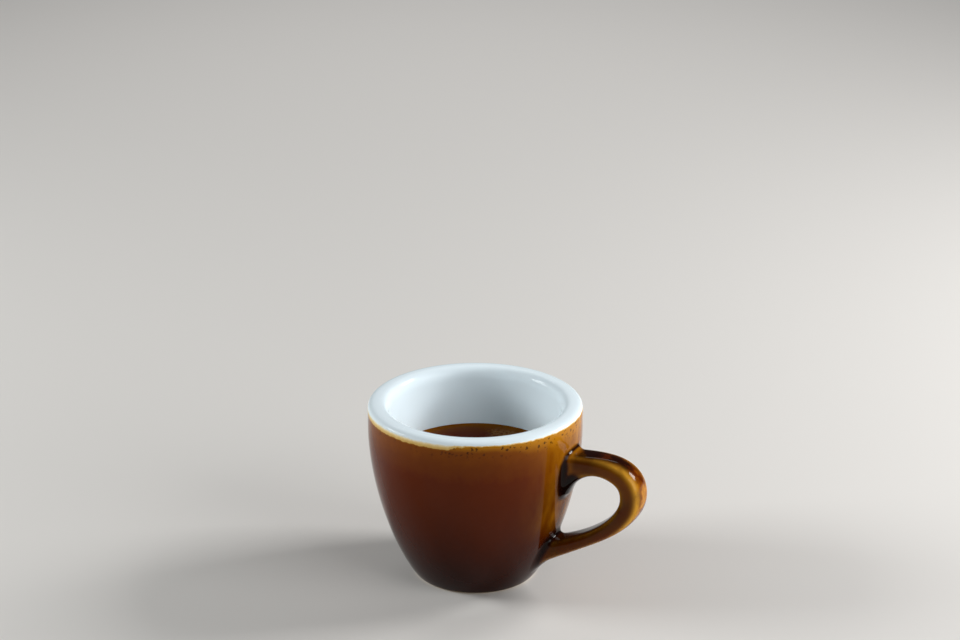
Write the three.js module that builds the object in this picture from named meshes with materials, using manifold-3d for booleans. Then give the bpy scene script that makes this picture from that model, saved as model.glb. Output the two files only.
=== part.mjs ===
// An espresso shot in its thick-walled stoneware cup.
// The cup, with its looped handle, is one fired piece, and the coffee fills it to its level.
// Millimetres, +Z up, standing on z = 0. The handle points along +X. The origin lies under the middle
// of the whole length, so the bowl's own axis stands to the -X side of it.
import * as THREE from "three";
import { ParametricGeometry } from "three/addons/geometries/ParametricGeometry.js";
import { mergeVertices } from "three/addons/utils/BufferGeometryUtils.js";
import Module from "manifold-3d";

// Outside of the bowl: an egg-like curve from the foot to the full width, then straight up to the lip
const CUP_HEIGHT = 54;
const RIM_RADIUS = 31.5;
const HEEL_RADIUS = 18;
const FULL_WIDTH_HEIGHT = 45.5;
const BELLY_POWER = 1.78;
const HEEL_POWER = 1.18;

// Lip: a broad, slightly domed top. From its crest it curves down, tightly outside and softly inside.
const LIP_OUTER_WIDTH = 3.2;
const LIP_OUTER_DROP = 2.4;
const LIP_OUTER_POWER = 2.8;
const LIP_INNER_WIDTH = 3;
const LIP_INNER_DROP = 4;
const LIP_INNER_POWER = 2.4;

// Inside of the bowl
const CREST_RADIUS = RIM_RADIUS - LIP_OUTER_WIDTH;
const BORE_RADIUS = CREST_RADIUS - LIP_INNER_WIDTH;
const BORE_STRAIGHT_HEIGHT = CUP_HEIGHT - LIP_INNER_DROP;
const FLOOR_HEIGHT = 6.5;
const BOWL_POWER = 2.5;

// Foot ring, and the shallow recess inside it
const FOOT_OUTER_RADIUS = 17.7;
const FOOT_INNER_RADIUS = 13.8;
const FOOT_BAND = 0.5;
const RECESS_DEPTH = 1.6;
const RECESS_SLOPE = 1.4;

// Handle: a loop in the XZ plane, its middle line measured from the bowl's axis
const HANDLE_REACH = 50.8;
const HANDLE_MIDDLE_HEIGHT = 33.7;
const UPPER_ROOT = [28, 41.3];
const UPPER_PULL = [38, 42.1];
const UPPER_TURN_HEIGHT = 43.3;
const LOWER_TURN_HEIGHT = 25.7;
const LOWER_PULL = [39.8, 17.9];
const LOWER_ROOT = [20.5, 10.1];
const HANDLE_WIDTH = 9.2;
const SECTION_POWER = 3;

// Thickness along the handle: slim arms, a fuller outer bend and a broad lower root, by share of its length
const ARM_THICKNESS = 4.1;
const BEND_EXTRA = 2.6;
const BEND_PLACE = 0.36;
const BEND_SPAN = 0.22;
const LOWER_ROOT_EXTRA = 3.6;
const LOWER_ROOT_START = 0.7;

// Rounded joint between handle and bowl, largest in the pit under the upper arm
const JOINT_FILLET = 2.6;
const PIT_FILLET = 12;
const PIT_END = 0.5;
const FILLET_LIMIT = 0.94;
const FILLET_PASSES = 8;

// Coffee
const COFFEE_DEPTH_BELOW_RIM = 18.3;
const COFFEE_CLEARANCE = 0.3;
const MENISCUS_RISE = 0.4;
const MENISCUS_WIDTH = 2;

// Fineness of the faceted surfaces
const TURNS = 60;
const OUTSIDE_STEPS = 14;
const INSIDE_STEPS = 13;
const LIP_STEPS = 6;
const MENISCUS_STEPS = 3;
const HANDLE_STEPS = 44;
const HANDLE_SIDES = 22;
const STEP_CROWDING = 0.5;
const HEEL_CROWDING = 1.4;
const MERGE_DISTANCE = 1e-4;

const HANDLE_OUTER_REACH = HANDLE_REACH + (ARM_THICKNESS + BEND_EXTRA) / 2;
const AXIS_OFFSET = -(HANDLE_OUTER_REACH - RIM_RADIUS) / 2;
const COFFEE_LEVEL = CUP_HEIGHT - COFFEE_DEPTH_BELOW_RIM;

const glaze = new THREE.MeshStandardMaterial({ color: 0x7a3d08, roughness: 0.16, metalness: 0 });
const coffee = new THREE.MeshStandardMaterial({ color: 0x3a1404, roughness: 0.08, metalness: 0 });

const wasm = await Module();
wasm.setup();

// A curve that leaves 0 steeply and levels out at 1, for share running from 0 to 1
function swell(share, rise, heel) {
  return (1 - (1 - Math.min(share, 1)) ** rise) ** (1 / heel);
}

function outsideRadius(height) {
  const share = Math.max(height, 0) / FULL_WIDTH_HEIGHT;
  return HEEL_RADIUS + (RIM_RADIUS - HEEL_RADIUS) * swell(share, BELLY_POWER, HEEL_POWER);
}

function insideRadius(height) {
  const share = (height - FLOOR_HEIGHT) / (BORE_STRAIGHT_HEIGHT - FLOOR_HEIGHT);
  return BORE_RADIUS * swell(Math.max(share, 0), BOWL_POWER, BOWL_POWER);
}

// Shares from 0 to 1 in equal steps, both ends included
function shares(steps) {
  return Array.from({ length: steps + 1 }, (_, i) => i / steps);
}

// A cosine or sine drawn out so that the round it traces has fuller corners the higher the power
function fuller(value, power) {
  return Math.sign(value) * Math.abs(value) ** (2 / power);
}

// Points of one quarter of the lip, which meets the other at the lip's crest
function lipQuarter(width, drop, power, startAngle) {
  return shares(LIP_STEPS).map((share) => {
    const angle = startAngle + (Math.PI / 2) * share;
    const across = width * fuller(Math.cos(angle), power);
    const rise = drop * fuller(Math.sin(angle), power);
    return new THREE.Vector2(CREST_RADIUS + across, CUP_HEIGHT - drop + rise);
  });
}

// A solid of revolution about the Z axis, from points of radius and height that start and end on the axis
function turned(profile) {
  return new THREE.LatheGeometry(profile, TURNS).rotateX(Math.PI / 2);
}

function bowlProfile() {
  const underside = [
    new THREE.Vector2(0, RECESS_DEPTH),
    new THREE.Vector2(FOOT_INNER_RADIUS - RECESS_SLOPE, RECESS_DEPTH),
    new THREE.Vector2(FOOT_INNER_RADIUS, 0),
    new THREE.Vector2(FOOT_OUTER_RADIUS, 0),
  ];
  const outside = shares(OUTSIDE_STEPS).map((share) => {
    const height = FOOT_BAND + (FULL_WIDTH_HEIGHT - FOOT_BAND) * share ** HEEL_CROWDING;
    return new THREE.Vector2(outsideRadius(height), height);
  });
  const lipOutside = lipQuarter(LIP_OUTER_WIDTH, LIP_OUTER_DROP, LIP_OUTER_POWER, 0);
  const lipInside = lipQuarter(LIP_INNER_WIDTH, LIP_INNER_DROP, LIP_INNER_POWER, Math.PI / 2).slice(1, -1);
  return [...underside, ...outside, ...lipOutside, ...lipInside, ...insidePoints(BORE_STRAIGHT_HEIGHT, 0)];
}

// Points down the inside of the bowl to the middle of its floor, drawn in by a clearance
function insidePoints(top, clearance) {
  const climb = top - FLOOR_HEIGHT;
  return shares(INSIDE_STEPS).map((share) => {
    const height = FLOOR_HEIGHT + climb * (1 - share) ** 2;
    const radius = Math.max(insideRadius(height) - clearance, 0);
    return new THREE.Vector2(radius, height + clearance * share);
  });
}

function handlePath() {
  const turn = new THREE.Vector2(HANDLE_REACH, HANDLE_MIDDLE_HEIGHT);
  const path = new THREE.CurvePath();
  path.add(
    new THREE.CubicBezierCurve(
      new THREE.Vector2(...UPPER_ROOT),
      new THREE.Vector2(...UPPER_PULL),
      new THREE.Vector2(HANDLE_REACH, UPPER_TURN_HEIGHT),
      turn,
    ),
  );
  path.add(
    new THREE.CubicBezierCurve(
      turn,
      new THREE.Vector2(HANDLE_REACH, LOWER_TURN_HEIGHT),
      new THREE.Vector2(...LOWER_PULL),
      new THREE.Vector2(...LOWER_ROOT),
    ),
  );
  return path;
}

// How far the handle's skin swells out at a distance from the bowl, as a round fillet
function filletSwell(gap, radius) {
  const inward = 1 - Math.max(gap / radius, 0);
  const depth = Math.min(Math.max(inward, 0), FILLET_LIMIT);
  return radius * (1 - Math.sqrt(1 - depth ** 2));
}

function handleThickness(along) {
  const bend = Math.exp(-(((along - BEND_PLACE) / BEND_SPAN) ** 2));
  const root = Math.max((along - LOWER_ROOT_START) / (1 - LOWER_ROOT_START), 0) ** 2;
  return ARM_THICKNESS + BEND_EXTRA * bend + LOWER_ROOT_EXTRA * root;
}

// The handle as a swept oval, closed at both ends inside the bowl's wall
function handleGeometry() {
  const path = handlePath();
  const place = (u, v, target) => {
    const ring = Math.min(Math.max((u * HANDLE_STEPS - 1) / (HANDLE_STEPS - 2), 0), 1);
    const along = ring - (STEP_CROWDING * Math.sin(2 * Math.PI * ring)) / (2 * Math.PI);
    const middle = path.getPoint(along);
    const heading = path.getTangent(along);
    const angle = 2 * Math.PI * v;
    const rise = (fuller(Math.cos(angle), SECTION_POWER) * handleThickness(along)) / 2;
    const side = (fuller(Math.sin(angle), SECTION_POWER) * HANDLE_WIDTH) / 2;
    const inThePit = along < PIT_END && rise < 0;
    const move = (up, across) =>
      target.set(middle.x - heading.y * up, across, middle.y + heading.x * up);
    let riseSwell = 0;
    let sideSwell = 0;
    for (let pass = 0; pass < FILLET_PASSES; pass += 1) {
      move(rise + riseSwell, side + sideSwell);
      const gap = Math.hypot(target.x, target.y) - outsideRadius(target.z);
      const riseWanted = Math.cos(angle) * filletSwell(gap, inThePit ? PIT_FILLET : JOINT_FILLET);
      const sideWanted = Math.sin(angle) * filletSwell(gap, JOINT_FILLET);
      riseSwell = (riseSwell + riseWanted) / 2;
      sideSwell = (sideSwell + sideWanted) / 2;
    }
    const closing = u === 0 || u === 1 ? 0 : 1;
    move(closing * (rise + riseSwell), closing * (side + sideSwell));
  };
  return new ParametricGeometry(place, HANDLE_STEPS, HANDLE_SIDES);
}

// A closed geometry as a solid that can be joined with others
function solid(geometry) {
  geometry.deleteAttribute("normal");
  geometry.deleteAttribute("uv");
  const merged = mergeVertices(geometry, MERGE_DISTANCE);
  const vertProperties = Float32Array.from(merged.attributes.position.array);
  const triVerts = Uint32Array.from(merged.index.array);
  return new wasm.Manifold(new wasm.Mesh({ numProp: 3, vertProperties, triVerts }));
}

function geometryOf(body) {
  const { vertProperties, triVerts } = body.getMesh();
  const geometry = new THREE.BufferGeometry();
  geometry.setAttribute("position", new THREE.BufferAttribute(vertProperties, 3));
  geometry.setIndex(new THREE.BufferAttribute(triVerts, 1));
  geometry.computeVertexNormals();
  return geometry;
}

function makeCup() {
  const bowl = solid(turned(bowlProfile()));
  const handle = solid(handleGeometry());
  const mesh = new THREE.Mesh(geometryOf(bowl.add(handle)), glaze);
  mesh.name = "cup";
  return mesh;
}

// The coffee fills the bowl to its level, and creeps up a little where it meets the wall
function makeEspresso() {
  const edgeHeight = COFFEE_LEVEL + MENISCUS_RISE;
  const edgeRadius = insideRadius(edgeHeight) - COFFEE_CLEARANCE;
  const surface = shares(MENISCUS_STEPS).map((share) => {
    const rise = MENISCUS_RISE * (1 - share) ** 2;
    return new THREE.Vector2(edgeRadius - MENISCUS_WIDTH * share, COFFEE_LEVEL + rise);
  });
  const below = insidePoints(edgeHeight, COFFEE_CLEARANCE).reverse();
  const profile = [...below, ...surface.slice(1), new THREE.Vector2(0, COFFEE_LEVEL)];
  const mesh = new THREE.Mesh(turned(profile), coffee);
  mesh.name = "espresso";
  return mesh;
}

const shot = new THREE.Group();
const aboutTheBowl = new THREE.Group();
aboutTheBowl.position.x = AXIS_OFFSET;
aboutTheBowl.add(makeCup(), makeEspresso());
shot.add(aboutTheBowl);

export default shot;
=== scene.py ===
"""Espresso shot in its cup: the looks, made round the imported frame.

Shapes are worked out in millimetres with x and y measured from the bowl's axis, and become metres in the
frame's place when a mesh is made.
"""
import math

import bpy
import numpy as np
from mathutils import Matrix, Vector


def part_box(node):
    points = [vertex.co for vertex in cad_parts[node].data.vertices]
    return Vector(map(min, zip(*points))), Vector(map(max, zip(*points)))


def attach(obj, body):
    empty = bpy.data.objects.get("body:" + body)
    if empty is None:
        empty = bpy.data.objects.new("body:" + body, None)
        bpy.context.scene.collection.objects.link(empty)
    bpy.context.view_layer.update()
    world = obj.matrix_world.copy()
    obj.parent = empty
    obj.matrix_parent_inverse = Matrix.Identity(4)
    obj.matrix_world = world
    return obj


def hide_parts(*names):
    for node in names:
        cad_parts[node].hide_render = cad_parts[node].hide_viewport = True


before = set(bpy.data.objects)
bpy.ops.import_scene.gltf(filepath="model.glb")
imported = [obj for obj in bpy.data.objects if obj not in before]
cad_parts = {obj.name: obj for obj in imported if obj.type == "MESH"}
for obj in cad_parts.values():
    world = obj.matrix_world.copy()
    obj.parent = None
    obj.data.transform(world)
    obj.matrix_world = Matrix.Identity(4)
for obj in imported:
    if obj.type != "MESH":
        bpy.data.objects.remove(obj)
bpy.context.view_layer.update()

# Sizes taken from the frame
MM = 0.001
cup_low, cup_high = (np.array(corner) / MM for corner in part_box("cup"))
RIM_RADIUS = (cup_high[1] - cup_low[1]) / 2
AXIS_X = cup_low[0] + RIM_RADIUS
CUP_HEIGHT = cup_high[2]
HANDLE_OUTER_REACH = cup_high[0] - AXIS_X
COFFEE_EDGE_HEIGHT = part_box("espresso")[1][2] / MM

# Bowl: outside curve, domed lip, inside and foot ring, as in the solid
HEEL_RADIUS = 18
FULL_WIDTH_HEIGHT = 45.5
BELLY_POWER = 1.78
HEEL_POWER = 1.18
LIP_OUTER_WIDTH = 3.2
LIP_OUTER_DROP = 2.4
LIP_OUTER_POWER = 2.8
LIP_INNER_WIDTH = 3
LIP_INNER_DROP = 4
LIP_INNER_POWER = 2.4
CREST_RADIUS = RIM_RADIUS - LIP_OUTER_WIDTH
BORE_RADIUS = CREST_RADIUS - LIP_INNER_WIDTH
BORE_STRAIGHT_HEIGHT = CUP_HEIGHT - LIP_INNER_DROP
FLOOR_HEIGHT = 6.5
BOWL_POWER = 2.5
FOOT_ROUNDING = 0.5
FOOT_INNER_RADIUS = 13.8
RECESS_DEPTH = 1.6
RECESS_ROUNDING = 0.9

# Handle: middle line, thickness along it and rounded joints, as in the solid
ARM_THICKNESS = 4.1
BEND_EXTRA = 2.6
BEND_PLACE = 0.36
BEND_SPAN = 0.22
LOWER_ROOT_EXTRA = 3.6
LOWER_ROOT_START = 0.7
HANDLE_WIDTH = 9.2
SECTION_POWER = 3
HANDLE_REACH = HANDLE_OUTER_REACH - (ARM_THICKNESS + BEND_EXTRA) / 2
HANDLE_MIDDLE = (HANDLE_REACH, 33.7)
UPPER_CURVE = ((28, 41.3), (38, 42.1), (HANDLE_REACH, 43.3), HANDLE_MIDDLE)
LOWER_CURVE = (HANDLE_MIDDLE, (HANDLE_REACH, 25.7), (39.8, 17.9), (20.5, 10.1))
CURVE_STEPS = 200
JOINT_FILLET = 2.6
PIT_FILLET = 12
PIT_END = 0.5
FILLET_LIMIT = 0.94
FILLET_PASSES = 8
JOINT_LOW = (14, -22, 0)
JOINT_HIGH = (HANDLE_OUTER_REACH + 3, 22, 52)

# Coffee: its edge at the wall, and where the foam and bubbles lie, the group in the camera's own directions
MENISCUS_RISE = 0.4
MENISCUS_WIDTH = 2
COFFEE_LEVEL = COFFEE_EDGE_HEIGHT - MENISCUS_RISE
MENISCUS_POWER = 2.5
COFFEE_WALL_GAP = 0.01
FOAM_MIDDLE = (8, 17)
BUBBLES_AT_EDGE = 20
BUBBLE_RADIUS = (0.14, 0.34)
BUBBLE_INSET = 0.5
BUBBLE_INSET_RANGE = 2.6
BUBBLE_FLATNESS = 0.8
BUBBLE_CLUSTER = ((4.0, 19.6, 0.3), (5.2, 20.3, 0.22), (6.4, 19.2, 0.26), (3.1, 20.8, 0.18), (7.6, 20.1, 0.2))
GOLDEN_SHARE = (math.sqrt(5) - 1) / 2

# White glaze: how far from the lip's crest, across and down, it reaches on the camera's side, and half of
# what it reaches further on the far side
BORDER_REACH = 3.9
BORDER_DIP = 0.45

# Cream runs under the white: their middles and half widths, in degrees round the axis from the handle
CREAM_RUNS = ((-112, 42), (40, 16), (150, 24))

# Dark glaze pooled at the handle's joints, and where it lies under the upper arm, with painted shade: the
# dark spreads wider where the handle shades the bowl
POOL_SPREAD = 2.5
POOL_TOP_NARROWING = 0.4
POOL_NARROWING_RISES = (-0.5, 1)
ARM_POOL_NARROWING = 1.6
ARM_SKIN = 0.2
PIT_POOL_DROPS = (0.8, 5)
PIT_POOL_RISES = (0.1, 0.8)

# Thin golden glaze: degrees round the axis that it spans under the border and beside the handle, the heights
# where the second fades in, and how wide it is on the handle's edges. Beside the handle it is partly painted
# light falling through the handle's loop, and on the edges at the bend partly a painted highlight
THIN_SPAN = 38
BESIDE_SPAN = 20
BESIDE_HEIGHTS = (16, 28)
RIDGE_WIDTH = 0.24
RIDGE_BEND_EXTRA = 0.14

# Handle's own glaze: distances from the bowl over which it takes over, and how softly its faces meet
HANDLE_START = (0.2, 3.5)
FACE_BLEND = (-0.2, 0.4)

# Noises in the glaze: waves a metre, detail, and how they are stretched where the glaze ran down
BODY_NOISES = ((50.0, 3.0), (170.0, 4.0, (1.0, 1.0, 0.2)), (600.0, 3.0))
SIDE_NOISE = (70.0, 3.0)
PATCH_NOISE = (170.0, 5.0)
RIDGE_GOLD_NOISE = (140.0, 4.0)
STREAK_NOISE = (150.0, 3.0, (1.0, 1.0, 0.3))
POOL_NOISE = (220.0, 3.0)
BORDER_NOISE = (330.0, 3.0)
GOLD_NOISE = (200.0, 3.0)
RAGGED_NOISE = 1500.0
SPECK_NOISE = (90.0, 3.0)
RUN_NOISE = (260.0, 3.0)
CREAM_NOISE = (900.0, 3.0)
GLOSS_NOISE = (90.0, 3.0)
RIPPLE_NOISE = (160.0, 2.0)

# How far those noises move what they act on
BODY_DRIFTS = (0.005, 0.004, 0.003)
POOL_DRIFT = 0.2
BORDER_DRIFT = 0.32
GOLD_DRIFT = 0.5
RAGGED_DRIFT = 0.0012
RUN_DRIFT = 0.5
CREAM_DRIFT = 0.7
RIPPLE_DRIFT = 0.6

# Ranges in the glaze: from low to high, and what these become if it is not 0 and 1
PATCH_THINNING = (0.1, 0.4, -0.14, 0.07)
BEND_START = (0.15, 0.3, 0.5, 1.0)
BEND_STOP = (0.5, 0.75, 1.0, 0.55)
RIDGE_GOLD_SHARE = (0.32, 0.56, 0.25, 1.0)
STREAK_SHARE = (0.3, 0.65, 0.1, 0.8)
DARK_POOL_AND_SHADE = (0.12, 0.6)
DEEP_POOL_AND_SHADE = (0.45, 0.95)
GOLD_REACH = (0.0, 1.0, 1.0, 2.6)
GOLD_FADE = (0.2, 2.6, 0.95, 0.0)
RUN_REACH = (0.3, 0.6, 0.5, 1.9)
CREAM_EDGE = (0.9, 1.08, 1.0, 0.0)
WHITE_EDGE = (-0.12, 0.12, 1.0, 0.0)
BARE_EDGE = (0.00035, 0.0006, 1.0, 0.0)
GLAZE_GLOSS = (0.3, 0.7, 0.05, 0.1)
# Share of the dark colour painted as shade on the handle's faces towards the bowl
INNER_FACE_PAINTED_SHADE = 0.6

# Specks under the border: cells a metre, largest radius in cells, and millimetres from the border to the last
SPECKS = ((420.0, 0.15, 3.4), (1000.0, 0.45, 5.5))
SPECK_SIZES = (0.25, 0.85, 0.0)
SPECK_START = (0.5, 0.9)
SPECK_FADE = 0.4
SPECK_EDGE = (-0.06, 0.0, 1.0, 0.0)
SPECK_THIN_EXTRA = 0.3
SPECK_DENSITY = (0.36, 0.54, 0.0, 0.8)

# Surfaces
GLAZE_IOR = 1.4
GLAZE_SPECULAR = 0.17
CLAY_ROUGHNESS = 0.75
RIPPLE_STRENGTH = 0.12
RIPPLE_DEPTH = 0.0002
COFFEE_NOISE = (60.0, 2.0)
COFFEE_DRIFT = 0.006
COFFEE_PALING = (0.010, 0.0262)
COFFEE_GLOSS_NOISE = (300.0, 3.0)
COFFEE_GLOSS = (0.3, 0.7, 0.16, 0.28)
COFFEE_IOR = 1.33
COFFEE_SPECULAR = 0.04
FOAM_NOISE = (400.0, 4.0)
FOAM_DRIFT = 0.006
FOAM_FADE = (0.001, 0.0055, 0.7, 0.0)
FROTH_NOISE = (900.0, 4.0)
FROTH_SHARE = (0.35, 0.6)
BUBBLE_ROUGHNESS = 0.08
FLOOR_ROUGHNESS = 0.7

# Fineness of the meshes
NET_STEP = 0.57
NET_MARGIN = 1.5
RELAX_PASSES = 4
PROJECT_PASSES = 3
COFFEE_TURNS = 160
COFFEE_WALL_STEPS = 40
COFFEE_TOP_STEPS = 12
BUBBLE_TURNS = 14
BUBBLE_RINGS = 8
POINTS_AT_ONCE = 20000
SLOPE_REACH = 0.05
GRADIENT_REACH = 0.02
LEAST_STEEPNESS = 0.05
LONGEST_MOVE = 0.3
FAR = 40
TINY = 1e-6

# Photograph's camera: it looks at a point just beside the bowl's axis, and the handle, on its right, is
# turned this far towards it
CAMERA_TURN = math.radians(27)
CAMERA_PITCH = math.radians(20.32)
CAMERA_DISTANCE = 615.1
CAMERA_SIDE = 1.39
AIM_HEIGHT = 78.9
LENS = 80
SENSOR = 36

# Studio: each light's name, place and aim in the camera's own directions in millimetres, side in metres,
# watts and colour
CUP_MIDDLE = (0, 0, 35)
LIGHTS = (
    ("key", (620, 170, 430), CUP_MIDDLE, 0.24, 4.4, (0.99, 0.99, 1.0)),
    ("left_fill", (-760, 60, 380), CUP_MIDDLE, 0.3, 4.6, (0.97, 0.99, 1.0)),
    ("front_fill", (560, -380, 300), CUP_MIDDLE, 0.5, 2.8, (0.99, 0.99, 1.0)),
    ("far_floor", (0, 800, 700), (0, 1250, 0), 0.6, 3.0, (0.99, 0.99, 1.0)),
)
WORLD_COLOUR = (0.85, 0.88, 0.92, 1.0)
WORLD_STRENGTH = 0.06
FLOOR_HALF_SIDE = 4.0


# Fields: negative inside the solid, about the distance in millimetres near its skin

def swell(share, rise, heel):
    """A curve that leaves 0 steeply and levels out at 1."""
    return (1 - (1 - np.clip(share, 0, 1)) ** rise) ** (1 / heel)


def outside_radius(z):
    return HEEL_RADIUS + (RIM_RADIUS - HEEL_RADIUS) * swell(z / FULL_WIDTH_HEIGHT, BELLY_POWER, HEEL_POWER)


def inside_radius(z):
    share = (z - FLOOR_HEIGHT) / (BORE_STRAIGHT_HEIGHT - FLOOR_HEIGHT)
    return BORE_RADIUS * swell(share, BOWL_POWER, BOWL_POWER)


def outside_field(r, z):
    """Distance outside the bowl's outer wall."""
    height = np.maximum(z, 2 * SLOPE_REACH)
    widening = outside_radius(height + SLOPE_REACH) - outside_radius(height - SLOPE_REACH)
    slope = widening / (2 * SLOPE_REACH)
    return (r - outside_radius(height)) / np.sqrt(1 + slope ** 2)


def oval_field(across, half_width, rise, half_height, power):
    """Distance outside an oval in its own section, which has fuller corners the higher the power."""
    side = np.abs(across) / half_width + TINY
    up = np.abs(rise) / half_height + TINY
    size = (side ** power + up ** power) ** (1 / power)
    edge = power - 1
    steepness = np.hypot(side ** edge / half_width, up ** edge / half_height) / size ** edge
    return np.clip((size - 1) / steepness, -FAR, FAR)


def hollow_field(r, z):
    """Distance into the hollow of the bowl from its inner wall."""
    depth = np.maximum(BORE_STRAIGHT_HEIGHT - z, 0)
    return -oval_field(r, BORE_RADIUS, depth, BORE_STRAIGHT_HEIGHT - FLOOR_HEIGHT, BOWL_POWER)


def lip_field(r, z):
    """Distance outside the domed lip, from the heights up where it starts outside and inside."""
    outside = r > CREST_RADIUS
    width = np.where(outside, LIP_OUTER_WIDTH, LIP_INNER_WIDTH)
    drop = np.where(outside, LIP_OUTER_DROP, LIP_INNER_DROP)
    power = np.where(outside, LIP_OUTER_POWER, LIP_INNER_POWER)
    rise = z - CUP_HEIGHT + drop
    return np.where(rise > 0, oval_field(r - CREST_RADIUS, width, rise, drop, power), -FAR)


def round_cut(first, second, radius):
    """What is inside both fields, with their common edge rounded."""
    corner = np.hypot(np.maximum(first + radius, 0), np.maximum(second + radius, 0))
    return np.minimum(np.maximum(first, second), -radius) + corner


def round_join(first, second, radius):
    """What is inside either field, with a fillet between them."""
    corner = np.hypot(np.maximum(radius - first, 0), np.maximum(radius - second, 0))
    return np.maximum(np.minimum(first, second), radius) - corner


def smooth_step(value, low, high):
    share = np.clip((value - low) / (high - low), 0, 1)
    return share * share * (3 - 2 * share)


def bezier(points, steps):
    t = np.linspace(0, 1, steps)[:, None]
    a, b, c, d = (np.array(p, float) for p in points)
    return (1 - t) ** 3 * a + 3 * (1 - t) ** 2 * t * b + 3 * (1 - t) * t ** 2 * c + t ** 3 * d


def pit_drop(points, normal, half, along):
    """How much further down the upper arm reaches where its hollow side curves into the bowl."""
    drop = np.zeros(len(points))
    for _ in range(FILLET_PASSES):
        low = points - normal * (half + drop)[:, None]
        gap = np.maximum(outside_field(low[:, 0], low[:, 1]), 0)
        inward = np.clip(1 - gap / PIT_FILLET, 0, FILLET_LIMIT)
        drop = (drop + PIT_FILLET * (1 - np.sqrt(1 - inward ** 2))) / 2
    return np.where(along < PIT_END, drop, 0)


def handle_line():
    """Evenly spaced points of the handle's middle line in the XZ plane, with its headings, normals, half
    thickness and pit there, and the step between them."""
    rough = np.concatenate([bezier(UPPER_CURVE, CURVE_STEPS), bezier(LOWER_CURVE, CURVE_STEPS)[1:]])
    length = np.concatenate([[0], np.cumsum(np.hypot(*np.diff(rough, axis=0).T))])
    even = np.linspace(0, length[-1], 2 * CURVE_STEPS)
    points = np.stack([np.interp(even, length, rough[:, axis]) for axis in (0, 1)], -1)
    heading = np.gradient(points, axis=0)
    heading /= np.hypot(*heading.T)[:, None]
    normal = np.stack([-heading[:, 1], heading[:, 0]], -1)
    along = even / length[-1]
    bend = np.exp(-((along - BEND_PLACE) / BEND_SPAN) ** 2)
    root = np.maximum((along - LOWER_ROOT_START) / (1 - LOWER_ROOT_START), 0) ** 2
    half = (ARM_THICKNESS + BEND_EXTRA * bend + LOWER_ROOT_EXTRA * root) / 2
    return points, heading, normal, half, pit_drop(points, normal, half, along), even[1]


LINE, HEADING, NORMAL, HALF_THICKNESS, PIT_DROP, LINE_STEP = handle_line()


def section_place(x, z):
    """Where points lie in the handle's section: share of the length, height over the middle line, half
    thickness on that side, how far the pit drops there, and the distance past the ends."""
    index = np.empty(len(x))
    for part in np.array_split(np.arange(len(x)), max(1, len(x) // POINTS_AT_ONCE)):
        away = (x[part, None] - LINE[None, :, 0]) ** 2 + (z[part, None] - LINE[None, :, 1]) ** 2
        nearest = away.argmin(1)
        ahead = (x[part] - LINE[nearest, 0]) * HEADING[nearest, 0]
        ahead += (z[part] - LINE[nearest, 1]) * HEADING[nearest, 1]
        index[part] = nearest + ahead / LINE_STEP
    spots = np.arange(len(LINE))
    within = np.clip(index, 0, len(LINE) - 1)
    foot_x, foot_z, normal_x, normal_z, half, drop = (
        np.interp(within, spots, column) for column in (*LINE.T, *NORMAL.T, HALF_THICKNESS, PIT_DROP)
    )
    offset = (x - foot_x) * normal_x + (z - foot_z) * normal_z
    reach = half + np.where(offset < 0, drop, 0)
    beyond = np.maximum(-index, index - len(LINE) + 1) * LINE_STEP
    return within / (len(LINE) - 1), offset, reach, drop, beyond


def handle_field(x, y, z):
    """Distance outside the handle."""
    _, offset, reach, _, beyond = section_place(x, z)
    return np.maximum(oval_field(y, HANDLE_WIDTH / 2, offset, reach, SECTION_POWER), beyond)


def cup_parts(points):
    """Fields of the cup's parts at points: outer wall, handle, both joined, and hollow."""
    x, y, z = points.T
    r = np.hypot(x, y)
    wall = outside_field(r, z)
    handle = np.full(len(x), float(FAR))
    joined = wall.copy()
    near = np.all((points > JOINT_LOW) & (points < JOINT_HIGH), axis=1)
    handle[near] = handle_field(x[near], y[near], z[near])
    joined[near] = round_join(wall[near], handle[near], JOINT_FILLET)
    return wall, handle, joined, hollow_field(r, z)


def cup_field(points):
    """Distance outside the whole cup."""
    r, z = np.hypot(points[:, 0], points[:, 1]), points[:, 2]
    _, _, joined, hollow = cup_parts(points)
    solid = np.maximum(round_cut(joined, -z, FOOT_ROUNDING), np.maximum(hollow, lip_field(r, z)))
    recess = -round_cut(r - FOOT_INNER_RADIUS, z - RECESS_DEPTH, RECESS_ROUNDING)
    return round_cut(solid, recess, FOOT_ROUNDING)


def gradient(field, points):
    columns = []
    for axis in range(3):
        step = np.zeros(3)
        step[axis] = GRADIENT_REACH
        columns.append((field(points + step) - field(points - step)) / (2 * GRADIENT_REACH))
    return np.stack(columns, -1)


# Meshes

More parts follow.
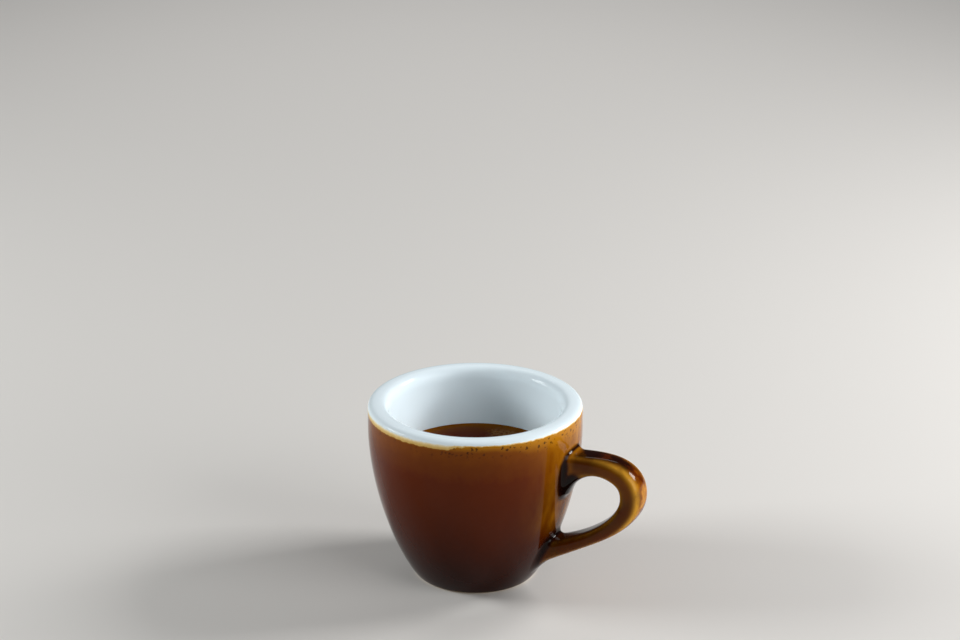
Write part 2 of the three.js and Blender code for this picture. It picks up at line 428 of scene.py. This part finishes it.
def surface_net(field, low, high, step):
    """A closed quad mesh of a field's zero surface on a regular grid."""
    counts = np.ceil((high - low) / step).astype(int) + 1
    axes = [low[i] + step * np.arange(counts[i]) for i in range(3)]
    grid = np.stack(np.meshgrid(*axes, indexing="ij"), -1)
    values = np.stack([field(slab.reshape(-1, 3)).reshape(slab.shape[:-1]) for slab in grid])
    inside = values < 0
    corners = [(i, j, k) for i in (0, 1) for j in (0, 1) for k in (0, 1)]
    windows = [tuple(slice(c, n - 1 + c) for c, n in zip(corner, counts)) for corner in corners]
    count = sum(inside[window].astype(np.int8) for window in windows)
    mixed = np.argwhere((count > 0) & (count < 8))
    value = {corner: values[tuple((mixed + corner).T)] for corner in corners}
    total = np.zeros((len(mixed), 3))
    crossings = np.zeros(len(mixed))
    for start in corners:
        for axis in range(3):
            if start[axis]:
                continue
            end = tuple(1 if i == axis else c for i, c in enumerate(start))
            crossed = (value[start] < 0) != (value[end] < 0)
            share = np.where(crossed, value[start] / np.where(crossed, value[start] - value[end], 1), 0)
            place = np.array(start, float) + share[:, None] * np.eye(3)[axis]
            total += place * crossed[:, None]
            crossings += crossed
    points = low + step * (mixed + total / crossings[:, None])
    number = np.full(counts - 1, -1)
    number[tuple(mixed.T)] = np.arange(len(mixed))
    quads = []
    for axis in range(3):
        u, v = (axis + 1) % 3, (axis + 2) % 3
        before = np.take(inside, range(counts[axis] - 1), axis)
        after = np.take(inside, range(1, counts[axis]), axis)
        spots = np.argwhere(before != after)
        around = []
        for du, dv in ((-1, -1), (0, -1), (0, 0), (-1, 0)):
            move = np.zeros(3, int)
            move[u], move[v] = du, dv
            around.append(number[tuple((spots + move).T)])
        ring = np.stack(around, -1)
        outward = before[tuple(spots.T)]
        quads.append(np.where(outward[:, None], ring, ring[:, ::-1]))
    return points, np.concatenate(quads)


def project(field, points, passes):
    """Points moved straight onto a field's zero surface, and the surface's normals there."""
    for _ in range(passes):
        slope = gradient(field, points)
        steep = np.maximum((slope ** 2).sum(1), LEAST_STEEPNESS)
        points = points - slope * np.clip(field(points) / steep, -LONGEST_MOVE, LONGEST_MOVE)[:, None]
    slope = gradient(field, points)
    return points, slope / np.linalg.norm(slope, axis=1)[:, None]


def relax(points, quads):
    """Each point moved half way to the middle of its neighbours."""
    total = np.zeros_like(points)
    count = np.zeros(len(points))
    for i in range(4):
        for a, b in ((quads[:, i], quads[:, (i + 1) % 4]), (quads[:, (i + 1) % 4], quads[:, i])):
            for axis in range(3):
                total[:, axis] += np.bincount(a, points[b, axis], len(points))
            count += np.bincount(a, minlength=len(points))
    return (points + total / count[:, None]) / 2


def make_object(name, points, faces, normals=None):
    """A mesh object in the frame, from points in millimetres about the bowl's axis."""
    mesh = bpy.data.meshes.new(name)
    placed = (np.asarray(points) + (AXIS_X, 0, 0)) * MM
    mesh.from_pydata(placed.tolist(), [], [tuple(face) for face in faces])
    mesh.polygons.foreach_set("use_smooth", np.ones(len(mesh.polygons), bool))
    if normals is not None:
        mesh.normals_split_custom_set_from_vertices(normals.tolist())
    made = bpy.data.objects.new(name, mesh)
    bpy.context.scene.collection.objects.link(made)
    return made


def store(piece, name, values):
    """A number for each point of a piece, which its material reads."""
    column = piece.data.attributes.new(name, "FLOAT", "POINT")
    column.data.foreach_set("value", np.asarray(values, np.float32))


def border_distance(points, hollow, wall):
    """Distance down the outside from the line where the white glaze meets the amber."""
    x, y, z = points.T
    across = np.hypot(x, y) - CREST_RADIUS
    down = CUP_HEIGHT - z
    inside = (hollow > wall) & (across < 0) & (z > FLOOR_HEIGHT / 2)
    from_crest = np.where(inside, across - down, across + down)
    from_camera = np.arctan2(y, x) - CAMERA_TURN + math.pi / 2
    return from_crest - BORDER_REACH - BORDER_DIP * (1 - np.cos(from_camera))


def cream_runs(around):
    """How much of a cream run lies at a direction round the axis."""
    shares = [np.exp(-((((around - middle) + 180) % 360 - 180) / half) ** 4) for middle, half in CREAM_RUNS]
    return np.max(shares, axis=0)


def make_cup():
    low = np.array([-RIM_RADIUS, -RIM_RADIUS, 0]) - NET_MARGIN
    high = np.array([HANDLE_OUTER_REACH, RIM_RADIUS, CUP_HEIGHT]) + NET_MARGIN
    points, quads = surface_net(cup_field, low, high, NET_STEP)
    for _ in range(RELAX_PASSES):
        points, _ = project(cup_field, relax(points, quads), 1)
    points, normals = project(cup_field, points, PROJECT_PASSES)
    cup = make_object("stoneware_cup", points, quads, normals)
    wall, handle, _, hollow = cup_parts(points)
    along, offset, reach, drop, _ = section_place(points[:, 0], points[:, 2])
    rise = offset / reach
    side = np.abs(points[:, 1]) / (HANDLE_WIDTH / 2)
    # Pooled glaze and painted shade: dark in the creases of the handle's joints, wider over the bowl beside
    # them, and under the upper arm
    from_crease = np.maximum(np.maximum(wall * ARM_POOL_NARROWING, handle), 0)
    spread = POOL_SPREAD * (1 - POOL_TOP_NARROWING * smooth_step(rise, *POOL_NARROWING_RISES))
    on_arm = 1 - smooth_step(handle, ARM_SKIN, JOINT_FILLET)
    in_pit = smooth_step(drop, *PIT_POOL_DROPS) * smooth_step(-rise, *PIT_POOL_RISES) * on_arm
    around = np.degrees(np.arctan2(points[:, 1], points[:, 0]))
    store(cup, "border", border_distance(points, hollow, wall))
    store(cup, "cream", cream_runs(around))
    store(cup, "thin", np.exp(-(around / THIN_SPAN) ** 2))
    store(cup, "pool_and_shade", np.maximum(np.exp(-(from_crease / spread) ** 2), in_pit))
    # Gold streaks beside the handle: partly glaze and partly painted light falling on the bowl through the
    # handle's loop
    beside = np.exp(-(around / BESIDE_SPAN) ** 2)
    store(cup, "beside", beside * smooth_step(points[:, 2], *BESIDE_HEIGHTS))
    store(cup, "handle", smooth_step(wall, *HANDLE_START))
    store(cup, "along", along)
    ridge_width = RIDGE_WIDTH + RIDGE_BEND_EXTRA * np.exp(-((along - BEND_PLACE) / BEND_SPAN) ** 2)
    store(cup, "ridge", np.exp(-((np.abs(rise) - side) / ridge_width) ** 2))
    store(cup, "outer_face", smooth_step(rise - side, *FACE_BLEND))
    store(cup, "inner_face", smooth_step(-rise - side, *FACE_BLEND))
    cup.data.materials.append(glaze_material())
    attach(cup, "root")
    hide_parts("cup")


def lathe(profile, turns):
    """Points and faces of a profile of radii and heights turned about the axis, closed at both ends."""
    angles = np.arange(turns) * (2 * math.pi / turns)
    ring = np.stack([np.cos(angles), np.sin(angles)], -1)
    body = np.array(profile[1:-1])
    rings = np.concatenate([np.column_stack([ring * r, np.full(turns, z)]) for r, z in body])
    points = np.concatenate([rings, [[0, 0, profile[0][1]], [0, 0, profile[-1][1]]]])
    faces = []
    for i in range(len(body) - 1):
        for j in range(turns):
            k = (j + 1) % turns
            faces.append((i * turns + j, i * turns + k, (i + 1) * turns + k, (i + 1) * turns + j))
    last = (len(body) - 1) * turns
    for j in range(turns):
        k = (j + 1) % turns
        faces.append((len(points) - 2, k, j))
        faces.append((last + j, last + k, len(points) - 1))
    return points, faces


def make_coffee():
    climb = COFFEE_EDGE_HEIGHT - FLOOR_HEIGHT
    heights = FLOOR_HEIGHT + climb * np.linspace(0, 1, COFFEE_WALL_STEPS) ** 2
    profile = [(max(inside_radius(z) - COFFEE_WALL_GAP, 0), z + COFFEE_WALL_GAP) for z in heights]
    edge = profile[-1][0]
    for share in np.linspace(0, 1, COFFEE_TOP_STEPS)[1:]:
        height = COFFEE_LEVEL + MENISCUS_RISE * (1 - share) ** MENISCUS_POWER
        profile.append((edge - MENISCUS_WIDTH * share, height))
    rest = edge - MENISCUS_WIDTH
    profile += [(rest * share, COFFEE_LEVEL) for share in np.linspace(1, 0, COFFEE_TOP_STEPS)[1:]]
    points, faces = lathe(profile, COFFEE_TURNS)
    coffee = make_object("coffee", points, faces)
    coffee.data.materials.append(coffee_material())
    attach(coffee, "root")
    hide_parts("espresso")


def bubble_places():
    """Middles and radii of the bubbles: a few beside the wall all round, and a small group at the back."""
    edge = inside_radius(COFFEE_EDGE_HEIGHT)
    small, large = BUBBLE_RADIUS
    for i in range(BUBBLES_AT_EDGE):
        share = (i * GOLDEN_SHARE * GOLDEN_SHARE) % 1
        radius = small + (large - small) * share ** 2
        angle = 2 * math.pi * i * GOLDEN_SHARE
        inset = BUBBLE_INSET + BUBBLE_INSET_RANGE * ((i * GOLDEN_SHARE) % 1) ** 3
        yield (edge - inset) * math.cos(angle), (edge - inset) * math.sin(angle), radius
    for sideways, away, radius in BUBBLE_CLUSTER:
        x, y, _ = frame_vector(sideways, away, 0) / MM
        yield x - AXIS_X, y, radius


def surface_height(r):
    """Height of the coffee's surface at a distance from the axis."""
    share = (inside_radius(COFFEE_EDGE_HEIGHT) - r) / MENISCUS_WIDTH
    return COFFEE_LEVEL + MENISCUS_RISE * max(1 - share, 0) ** MENISCUS_POWER


def make_bubbles():
    tilts = np.linspace(-math.pi / 2, math.pi / 2, BUBBLE_RINGS)
    ball, faces = lathe([(math.cos(tilt), math.sin(tilt)) for tilt in tilts], BUBBLE_TURNS)
    points = []
    every_face = []
    for x, y, radius in bubble_places():
        every_face += [tuple(len(points) + i for i in face) for face in faces]
        middle = (x, y, surface_height(math.hypot(x, y)))
        points += (ball * (radius, radius, radius * BUBBLE_FLATNESS) + middle).tolist()
    bubbles = make_object("coffee_bubbles", points, every_face)
    bubbles.data.materials.append(bubble_material())
    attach(bubbles, "root")


# Materials

def linear(red, green, blue):
    """A colour given as 0 to 255 screen values, as the renderer reads it."""
    share = np.array([red, green, blue]) / 255
    light = np.where(share <= 0.04045, share / 12.92, ((share + 0.055) / 1.055) ** 2.4)
    return (*light.tolist(), 1.0)


class Shader:
    """A material with a Principled surface, and short ways to add nodes to it."""

    def __init__(self, name):
        self.material = bpy.data.materials.new(name)
        self.material.use_nodes = True
        self.tree = self.material.node_tree
        self.surface = self.tree.nodes["Principled BSDF"]

    def add(self, kind, settings=None, **inputs):
        made = self.tree.nodes.new("ShaderNode" + kind)
        for key, value in (settings or {}).items():
            setattr(made, key, value)
        for key, value in inputs.items():
            self.feed(made.inputs[key.replace("_", " ")], value)
        return made

    def feed(self, socket, value):
        if isinstance(value, bpy.types.NodeSocket):
            self.tree.links.new(value, socket)
        else:
            socket.default_value = value

    def place(self):
        return self.add("TexCoord").outputs["Object"]

    def stored(self, name):
        return self.add("Attribute", {"attribute_name": name}).outputs["Fac"]

    def noise(self, scale, detail, stretch=None):
        vector = self.place()
        if stretch:
            vector = self.add("Mapping", Vector=vector, Scale=stretch).outputs[0]
        return self.add("TexNoise", Vector=vector, Scale=scale, Detail=detail).outputs["Fac"]

    def math(self, operation, first, second):
        made = self.add("Math", {"operation": operation})
        self.feed(made.inputs[0], first)
        self.feed(made.inputs[1], second)
        return made.outputs[0]

    def shift(self, value, noise, amount):
        """A value moved up and down by a noise, over this amount in all."""
        return self.math("ADD", value, self.math("MULTIPLY", self.math("SUBTRACT", noise, 0.5), amount))

    def spread(self, value, low, high, to_low=0.0, to_high=1.0):
        made = self.add("MapRange", {"interpolation_type": "SMOOTHSTEP"}, Value=value)
        for key, limit in (("From Min", low), ("From Max", high), ("To Min", to_low), ("To Max", to_high)):
            made.inputs[key].default_value = limit
        return made.outputs["Result"]

    def blend(self, share, first, second):
        made = self.add("Mix", {"data_type": "RGBA"})
        self.feed(made.inputs["Factor"], share)
        sockets = {socket.identifier: socket for socket in (*made.inputs, *made.outputs)}
        self.feed(sockets["A_Color"], first)
        self.feed(sockets["B_Color"], second)
        return sockets["Result_Color"]

    def ramp(self, value, *stops):
        made = self.add("ValToRGB", Fac=value)
        elements = made.color_ramp.elements
        while len(elements) < len(stops):
            elements.new(1.0)
        for element, (position, colour) in zip(elements, stops):
            element.position = position
            element.color = colour
        return made.outputs["Color"]


WHITE_GLAZE = linear(236, 249, 254)
CREAM_GLAZE = linear(240, 218, 164)
HONEY_GLAZE = linear(218, 178, 98)
GOLD_GLAZE = linear(188, 124, 20)
# Bright gold of thin glaze on the handle's edges, with a painted highlight on it
RIDGE_GOLD_AND_HIGHLIGHT = linear(208, 150, 46)
AMBER_GLAZE = linear(128, 66, 3)
ORANGE_GLAZE = linear(108, 50, 2)
RED_GLAZE = linear(92, 33, 0)
MAROON_GLAZE = linear(72, 23, 0)
UMBER_GLAZE = linear(94, 50, 3)
DARK_GLAZE_AND_SHADE = linear(38, 10, 3)
SPECK_GLAZE = linear(52, 21, 4)
# Near-black of glaze pooled deep in the joints, with painted shade there
POOLED_GLAZE_AND_SHADE = linear(14, 6, 4)
BARE_CLAY = linear(206, 186, 158)
FOAM_COLOUR = linear(158, 114, 66)
BUBBLE_COLOUR = linear(132, 82, 26)
FLOOR_COLOUR = linear(220, 217, 212)

# Colours along a value: from the foot up, over the noises of the handle's faces, out from under the white
# border, and from the coffee's middle to its edge
BODY_STOPS = (
    (0.0, DARK_GLAZE_AND_SHADE),
    (0.36, MAROON_GLAZE),
    (0.86, RED_GLAZE),
    (0.95, ORANGE_GLAZE),
    (1.0, AMBER_GLAZE),
)
SIDE_STOPS = ((0.3, RED_GLAZE), (0.48, UMBER_GLAZE), (0.72, AMBER_GLAZE))
OUTER_STOPS = ((0.38, DARK_GLAZE_AND_SHADE), (0.5, RED_GLAZE), (0.57, AMBER_GLAZE), (0.68, GOLD_GLAZE))
CREAM_STOPS = ((0.0, WHITE_GLAZE), (0.35, CREAM_GLAZE), (0.9, HONEY_GLAZE))
COFFEE_STOPS = (
    (0.0, linear(84, 22, 0)),
    (0.5, linear(94, 34, 0)),
    (0.8, linear(110, 54, 1)),
    (1.0, linear(140, 80, 4)),
)


def glaze_material():
    s = Shader("reactive_glaze")
    height = s.add("SeparateXYZ", Vector=s.place()).outputs["Z"]
    level = height
    for noise, drift in zip(BODY_NOISES, BODY_DRIFTS):
        level = s.shift(level, s.noise(*noise), drift)
    body = s.ramp(s.spread(level, 0.0, CUP_HEIGHT * MM), *BODY_STOPS)

    # The handle: brown sides, dark patches on the outer face, gold where the glaze is thin on its edges with
    # a painted highlight at the bend, and painted shade on the faces towards the bowl
    side = s.ramp(s.noise(*SIDE_NOISE), *SIDE_STOPS)
    patches = s.math("ADD", s.noise(*PATCH_NOISE), s.spread(s.stored("along"), *PATCH_THINNING))
    outer = s.ramp(patches, *OUTER_STOPS)
    arm = s.blend(s.stored("outer_face"), side, outer)
    bend = s.spread(s.stored("along"), *BEND_START)
    bend = s.math("MULTIPLY", bend, s.spread(s.stored("along"), *BEND_STOP))
    # Gold on the handle's edges at the bend: thin glaze with a painted highlight on it
    ridge_gold_and_highlight = s.math("MULTIPLY", s.stored("ridge"), s.spread(s.noise(*RIDGE_GOLD_NOISE), *RIDGE_GOLD_SHARE))
    arm = s.blend(s.math("MULTIPLY", ridge_gold_and_highlight, bend), arm, RIDGE_GOLD_AND_HIGHLIGHT)
    # Painted shade on the handle's faces towards the bowl
    arm = s.blend(s.math("MULTIPLY", s.stored("inner_face"), INNER_FACE_PAINTED_SHADE), arm, DARK_GLAZE_AND_SHADE)
    # Gold streaks on the bowl beside the handle, partly painted light through the handle's loop
    streaks = s.spread(s.noise(*STREAK_NOISE), *STREAK_SHARE)
    body = s.blend(s.math("MULTIPLY", s.stored("beside"), streaks), body, GOLD_GLAZE)
    colour = s.blend(s.stored("handle"), body, arm)
    # Pooled glaze and painted shade darken the joints and the bowl under the upper arm
    pool_and_shade = s.shift(s.stored("pool_and_shade"), s.noise(*POOL_NOISE), POOL_DRIFT)
    colour = s.blend(s.spread(pool_and_shade, *DARK_POOL_AND_SHADE), colour, DARK_GLAZE_AND_SHADE)
    colour = s.blend(s.spread(pool_and_shade, *DEEP_POOL_AND_SHADE), colour, POOLED_GLAZE_AND_SHADE)

    # The border at the lip: white that thins through cream to gold, longer in the runs, and specks under it
    wander = s.shift(s.stored("border"), s.noise(*BORDER_NOISE), BORDER_DRIFT)
    reach = s.spread(s.shift(s.stored("thin"), s.noise(*GOLD_NOISE), GOLD_DRIFT), *GOLD_REACH)
    depth = s.math("DIVIDE", wander, reach)
    colour = s.blend(s.spread(depth, *GOLD_FADE), colour, GOLD_GLAZE)
    ragged = s.add("VectorMath", {"operation": "MULTIPLY_ADD"})
    s.feed(ragged.inputs[0], s.add("TexNoise", Vector=s.place(), Scale=RAGGED_NOISE).outputs["Color"])
    ragged.inputs[1].default_value = (RAGGED_DRIFT, RAGGED_DRIFT, RAGGED_DRIFT)
    s.feed(ragged.inputs[2], s.place())
    for scale, largest, last in SPECKS:
        cell = s.add("TexVoronoi", Vector=ragged.outputs[0], Scale=scale)
        chance = s.add("SeparateColor", Color=cell.outputs["Color"]).outputs["Red"]
        speck = s.math("SUBTRACT", cell.outputs["Distance"], s.spread(chance, *SPECK_SIZES, largest))
        fade = s.spread(wander, last * SPECK_FADE, last, 1.0, 0.0)
        band = s.math("MULTIPLY", s.spread(wander, *SPECK_START), fade)
        share = s.math("MULTIPLY", s.spread(speck, *SPECK_EDGE), band)
        extra = s.math("MULTIPLY", s.stored("thin"), SPECK_THIN_EXTRA)
        dense = s.math("ADD", s.noise(*SPECK_NOISE), extra)
        share = s.math("MULTIPLY", share, s.spread(dense, *SPECK_DENSITY))
        colour = s.blend(share, colour, SPECK_GLAZE)
    runs = s.spread(s.shift(s.stored("cream"), s.noise(*RUN_NOISE), RUN_DRIFT), *RUN_REACH)
    thinning = s.math("DIVIDE", s.shift(wander, s.noise(*CREAM_NOISE), CREAM_DRIFT), runs)
    thin = s.ramp(s.spread(thinning, 0.0, 1.0), *CREAM_STOPS)
    colour = s.blend(s.spread(thinning, *CREAM_EDGE), colour, thin)
    white = s.spread(wander, *WHITE_EDGE)
    colour = s.blend(white, colour, WHITE_GLAZE)
    bare = s.spread(height, *BARE_EDGE)
    colour = s.blend(bare, colour, BARE_CLAY)
    s.feed(s.surface.inputs["Base Color"], colour)

    gloss = s.spread(s.noise(*GLOSS_NOISE), *GLAZE_GLOSS)
    rough = s.add("Mix", {"data_type": "FLOAT"}, Factor=bare, A=gloss, B=CLAY_ROUGHNESS).outputs[0]
    s.feed(s.surface.inputs["Roughness"], rough)
    ripple = s.shift(white, s.noise(*RIPPLE_NOISE), RIPPLE_DRIFT)
    bump = s.add("Bump", Strength=RIPPLE_STRENGTH, Distance=RIPPLE_DEPTH, Height=ripple).outputs["Normal"]
    s.feed(s.surface.inputs["Normal"], bump)
    s.surface.inputs["IOR"].default_value = GLAZE_IOR
    s.surface.inputs["Specular IOR Level"].default_value = GLAZE_SPECULAR
    return s.material


def coffee_material():
    s = Shader("espresso_surface")
    flat = s.add("VectorMath", {"operation": "SUBTRACT"})
    s.feed(flat.inputs[0], s.place())
    flat.inputs[1].default_value = (AXIS_X * MM, 0.0, COFFEE_LEVEL * MM)
    radius = s.add("VectorMath", {"operation": "LENGTH"})
    s.feed(radius.inputs[0], flat.outputs[0])
    drift = s.shift(radius.outputs["Value"], s.noise(*COFFEE_NOISE), COFFEE_DRIFT)
    colour = s.ramp(s.spread(drift, *COFFEE_PALING), *COFFEE_STOPS)
    from_foam = s.add("VectorMath", {"operation": "DISTANCE"})
    s.feed(from_foam.inputs[0], s.place())
    from_foam.inputs[1].default_value = frame_vector(*FOAM_MIDDLE, COFFEE_LEVEL)
    foam = s.spread(s.shift(from_foam.outputs["Value"], s.noise(*FOAM_NOISE), FOAM_DRIFT), *FOAM_FADE)
    foam = s.math("MULTIPLY", foam, s.spread(s.noise(*FROTH_NOISE), *FROTH_SHARE))
    colour = s.blend(foam, colour, FOAM_COLOUR)
    s.feed(s.surface.inputs["Base Color"], colour)
    s.feed(s.surface.inputs["Roughness"], s.spread(s.noise(*COFFEE_GLOSS_NOISE), *COFFEE_GLOSS))
    s.surface.inputs["IOR"].default_value = COFFEE_IOR
    s.surface.inputs["Specular IOR Level"].default_value = COFFEE_SPECULAR
    return s.material


def bubble_material():
    s = Shader("coffee_bubble")
    s.surface.inputs["Base Color"].default_value = BUBBLE_COLOUR
    s.surface.inputs["Roughness"].default_value = BUBBLE_ROUGHNESS
    s.surface.inputs["IOR"].default_value = COFFEE_IOR
    return s.material


def floor_material():
    s = Shader("pale_floor")
    s.surface.inputs["Base Color"].default_value = FLOOR_COLOUR
    s.surface.inputs["Roughness"].default_value = FLOOR_ROUGHNESS
    return s.material


# Stage

def frame_vector(sideways, away, up):
    """A place in the frame, given from the bowl's foot in the camera's own directions, in millimetres."""
    right = np.array([math.cos(CAMERA_TURN), math.sin(CAMERA_TURN), 0])
    forward = np.array([-math.sin(CAMERA_TURN), math.cos(CAMERA_TURN), 0])
    place = np.array([AXIS_X, 0, 0]) + right * sideways + forward * away + np.array([0, 0, up])
    return Vector(place * MM)


def make_camera():
    data = bpy.data.cameras.new("camera")
    data.lens = LENS
    data.sensor_width = SENSOR
    camera = bpy.data.objects.new("camera", data)
    bpy.context.scene.collection.objects.link(camera)
    back = CAMERA_DISTANCE * math.cos(CAMERA_PITCH)
    rise = AIM_HEIGHT + CAMERA_DISTANCE * math.sin(CAMERA_PITCH)
    eye = frame_vector(CAMERA_SIDE, -back, rise)
    aim = frame_vector(CAMERA_SIDE, 0, AIM_HEIGHT)
    camera.location = eye
    camera.rotation_euler = (aim - eye).to_track_quat("-Z", "Y").to_euler()
    bpy.context.scene.camera = camera


def make_floor():
    corners = [(FLOOR_HALF_SIDE * x, FLOOR_HALF_SIDE * y, 0) for x, y in ((-1, -1), (1, -1), (1, 1), (-1, 1))]
    mesh = bpy.data.meshes.new("floor")
    mesh.from_pydata(corners, [], [(0, 1, 2, 3)])
    floor = bpy.data.objects.new("floor", mesh)
    bpy.context.scene.collection.objects.link(floor)
    floor.data.materials.append(floor_material())


def make_light(name, place, aim, size, power, colour):
    data = bpy.data.lights.new(name, "AREA")
    data.shape = "SQUARE"
    data.size = size
    data.energy = power
    data.color = colour
    light = bpy.data.objects.new(name, data)
    bpy.context.scene.collection.objects.link(light)
    light.location = frame_vector(*place)
    light.rotation_euler = (frame_vector(*aim) - light.location).to_track_quat("-Z", "Y").to_euler()


def make_lights():
    for light in LIGHTS:
        make_light(*light)
    world = bpy.data.worlds.new("studio")
    world.use_nodes = True
    background = world.node_tree.nodes["Background"]
    background.inputs["Color"].default_value = WORLD_COLOUR
    background.inputs["Strength"].default_value = WORLD_STRENGTH
    bpy.context.scene.world = world
    bpy.context.scene.view_settings.view_transform = "Standard"


make_camera()
make_cup()
make_coffee()
make_bubbles()
make_floor()
make_lights()
